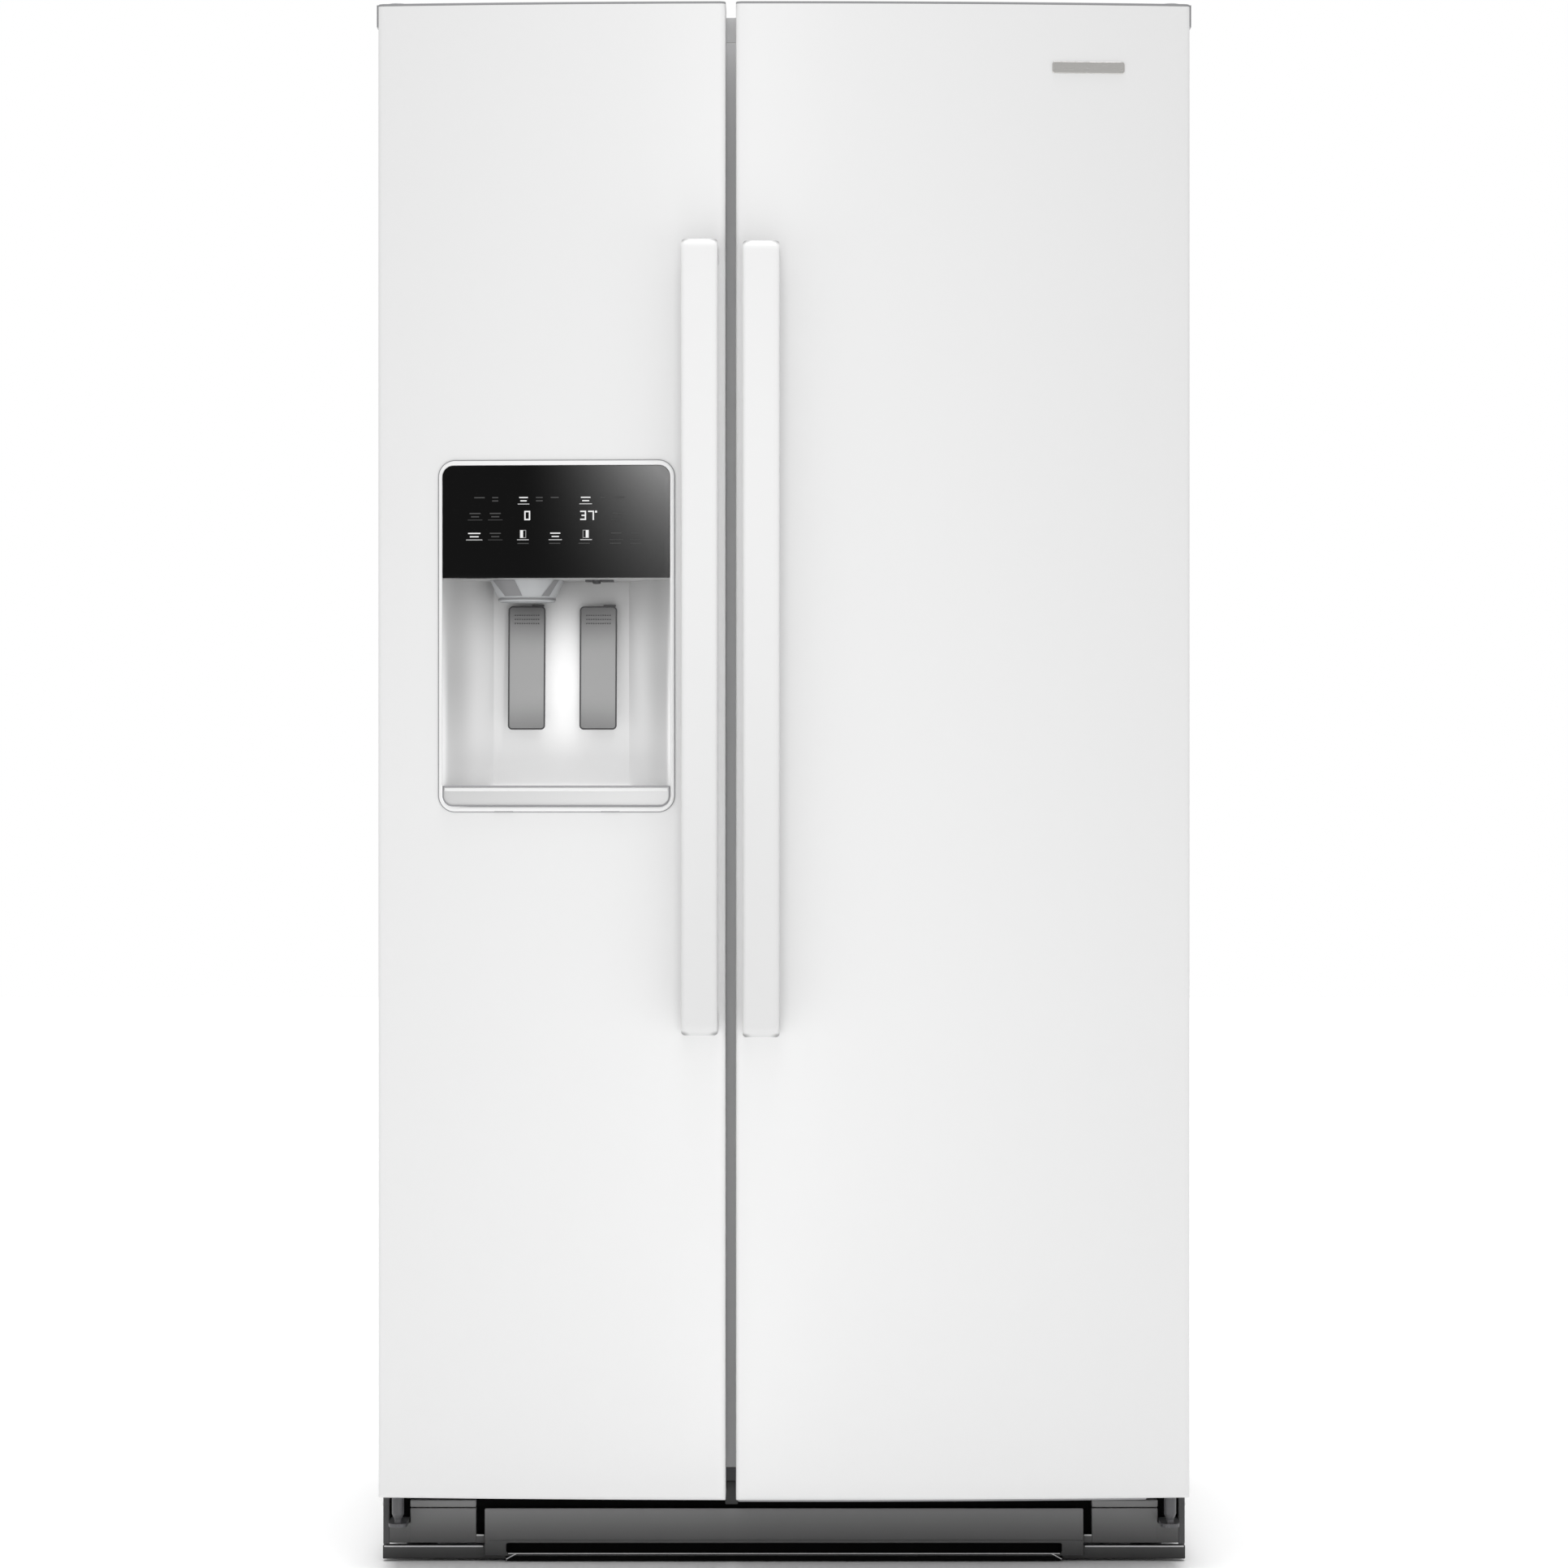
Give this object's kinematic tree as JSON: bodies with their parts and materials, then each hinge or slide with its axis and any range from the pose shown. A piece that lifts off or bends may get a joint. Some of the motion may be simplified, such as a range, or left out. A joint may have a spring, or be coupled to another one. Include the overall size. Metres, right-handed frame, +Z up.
{
  "type": "side by side refrigerator",
  "caption": "Side by side refrigerator freezer with bowed doors, flat bar handles and an ice and water dispenser recessed in the freezer door.",
  "frame": {"origin": "on the floor under the centre of the bounding box", "axes": "+X to the right as one faces the doors, -Y out of the doors, +Z up"},
  "size_m": [0.911, 0.866, 1.7575],
  "materials": {
    "white_enamel": "smooth white enamel",
    "white_plastic": "glossy white moulded plastic",
    "liner_plastic": "vacuum formed white plastic",
    "grey_plastic": "satin grey moulded plastic",
    "dark_plastic": "dark grey moulded plastic",
    "dark_steel": "dark grey painted steel",
    "bare_steel": "galvanised steel",
    "coil_aluminium": "drawn tube",
    "black_glass": "polished black panel",
    "clear_plastic": "clear moulded plastic",
    "shelf_glass": "tempered glass in a white rim",
    "seal_rubber": "soft grey seal",
    "foam": "rigid insulating foam"
  },
  "bodies": {
    "cabinet": {"back_panel": "bare_steel", "base_frame": "dark_steel", "base_grille": "dark_plastic", "bottom_hinge_left": "dark_steel", "bottom_hinge_right": "dark_steel", "cabinet_foam": "foam", "cabinet_shell": "white_enamel", "center_rail": "grey_plastic", "compressor": "dark_steel", "condenser_coil": "dark_steel", "condenser_fan_motor": "dark_plastic", "crisper_cover": "shelf_glass", "evaporator_coil": "coil_aluminium", "evaporator_cover": "liner_plastic", "freezer_liner": "liner_plastic", "freezer_shelf_lower": "bare_steel", "freezer_shelf_upper": "bare_steel", "glass_shelf_lower": "shelf_glass", "glass_shelf_upper": "shelf_glass", "hinge_cover_left": "white_plastic", "hinge_cover_right": "white_plastic", "ice_maker": "liner_plastic", "machine_cover": "bare_steel", "refrigerator_liner": "liner_plastic", "top_hinge_left": "bare_steel", "top_hinge_right": "bare_steel", "water_filter_housing": "liner_plastic"},
    "freezer_door": {"freezer_door_skin": "white_enamel", "freezer_door_foam": "foam", "freezer_door_liner": "liner_plastic", "freezer_door_gasket": "seal_rubber", "freezer_door_handle": "white_plastic", "freezer_door_cap": "grey_plastic", "dispenser_housing": "white_plastic", "control_panel": "black_glass", "ice_chute": "clear_plastic", "ice_bin": "clear_plastic", "freezer_door_bin": "clear_plastic"},
    "refrigerator_door": {"refrigerator_door_skin": "white_enamel", "refrigerator_door_foam": "foam", "refrigerator_door_liner": "liner_plastic", "refrigerator_door_gasket": "seal_rubber", "refrigerator_door_handle": "white_plastic", "refrigerator_door_cap": "grey_plastic", "door_bin_upper": "clear_plastic", "door_bin_lower": "clear_plastic", "dairy_bin": "liner_plastic"},
    "ice_paddle": {"ice_paddle": "clear_plastic"},
    "water_paddle": {"water_paddle": "clear_plastic"},
    "drip_tray": {"drip_tray": "grey_plastic"},
    "crisper_upper": {"crisper_upper": "clear_plastic"},
    "crisper_lower": {"crisper_lower": "clear_plastic"},
    "freezer_basket": {"freezer_basket": "liner_plastic"},
    "water_filter": {"water_filter": "white_plastic"},
    "condenser_fan": {"condenser_fan": "dark_plastic"},
    "evaporator_fan": {"evaporator_fan": "grey_plastic"},
    "leveling_leg_left": {"leveling_leg_left": "dark_plastic"},
    "leveling_leg_right": {"leveling_leg_right": "dark_plastic"},
    "rear_roller_left": {"rear_roller_left": "dark_plastic"},
    "rear_roller_right": {"rear_roller_right": "dark_plastic"}
  },
  "joints": [
    {"name": "freezer_door_hinge", "type": "hinge", "parent": "cabinet", "child": "freezer_door", "pos_m": [-0.4335, -0.333, 0.08], "axis": [0, 0, -1], "range_deg": [0, 130]},
    {"name": "refrigerator_door_hinge", "type": "hinge", "parent": "cabinet", "child": "refrigerator_door", "pos_m": [0.4335, -0.333, 0.08], "axis": [0, 0, 1], "range_deg": [0, 130]},
    {"name": "freezer_basket_slide", "type": "slide", "parent": "cabinet", "child": "freezer_basket", "axis": [0, -1, 0], "range_m": [0, 0.25]},
    {"name": "crisper_upper_slide", "type": "slide", "parent": "cabinet", "child": "crisper_upper", "axis": [0, -1, 0], "range_m": [0, 0.25]},
    {"name": "crisper_lower_slide", "type": "slide", "parent": "cabinet", "child": "crisper_lower", "axis": [0, -1, 0], "range_m": [0, 0.25]},
    {"name": "ice_paddle_push", "type": "hinge", "parent": "freezer_door", "child": "ice_paddle", "pos_m": [-0.2898, -0.3075, 1.0765], "axis": [1, 0, 0], "range_deg": [0, 6], "stiffness_Nm_per_rad": 0.3, "springref_deg": -11.46},
    {"name": "water_paddle_push", "type": "hinge", "parent": "freezer_door", "child": "water_paddle", "pos_m": [-0.20925, -0.3075, 1.0765], "axis": [1, 0, 0], "range_deg": [0, 6], "stiffness_Nm_per_rad": 0.3, "springref_deg": -11.46},
    {"name": "drip_tray_slide", "type": "slide", "parent": "freezer_door", "child": "drip_tray", "axis": [0, -1, 0], "range_m": [0, 0.08]},
    {"name": "water_filter_turn", "type": "hinge", "parent": "cabinet", "child": "water_filter", "pos_m": [0.335, -0.15, 1.655], "axis": [0, 1, 0], "range_deg": [0, 90]},
    {"name": "condenser_fan_spin", "type": "hinge", "parent": "cabinet", "child": "condenser_fan", "pos_m": [-0.055, 0.29, 0.15], "axis": [1, 0, 0], "continuous": true},
    {"name": "evaporator_fan_spin", "type": "hinge", "parent": "cabinet", "child": "evaporator_fan", "pos_m": [-0.2475, 0.33, 1.3], "axis": [0, 1, 0], "continuous": true},
    {"name": "leveling_leg_left_turn", "type": "hinge", "parent": "cabinet", "child": "leveling_leg_left", "pos_m": [-0.415, -0.226, 0], "axis": [0, 0, 1], "continuous": true},
    {"name": "leveling_leg_right_turn", "type": "hinge", "parent": "cabinet", "child": "leveling_leg_right", "pos_m": [0.415, -0.226, 0], "axis": [0, 0, 1], "continuous": true},
    {"name": "rear_roller_left_spin", "type": "hinge", "parent": "cabinet", "child": "rear_roller_left", "pos_m": [-0.4335, 0.385, 0.015], "axis": [1, 0, 0], "continuous": true},
    {"name": "rear_roller_right_spin", "type": "hinge", "parent": "cabinet", "child": "rear_roller_right", "pos_m": [0.4335, 0.385, 0.015], "axis": [1, 0, 0], "continuous": true}
  ],
  "couplings": [
    {"joint": "freezer_basket_slide", "follows": "freezer_door_hinge", "m_per_rad": 0.11},
    {"joint": "crisper_upper_slide", "follows": "refrigerator_door_hinge", "m_per_rad": 0.11},
    {"joint": "crisper_lower_slide", "follows": "refrigerator_door_hinge", "m_per_rad": 0.11}
  ]
}
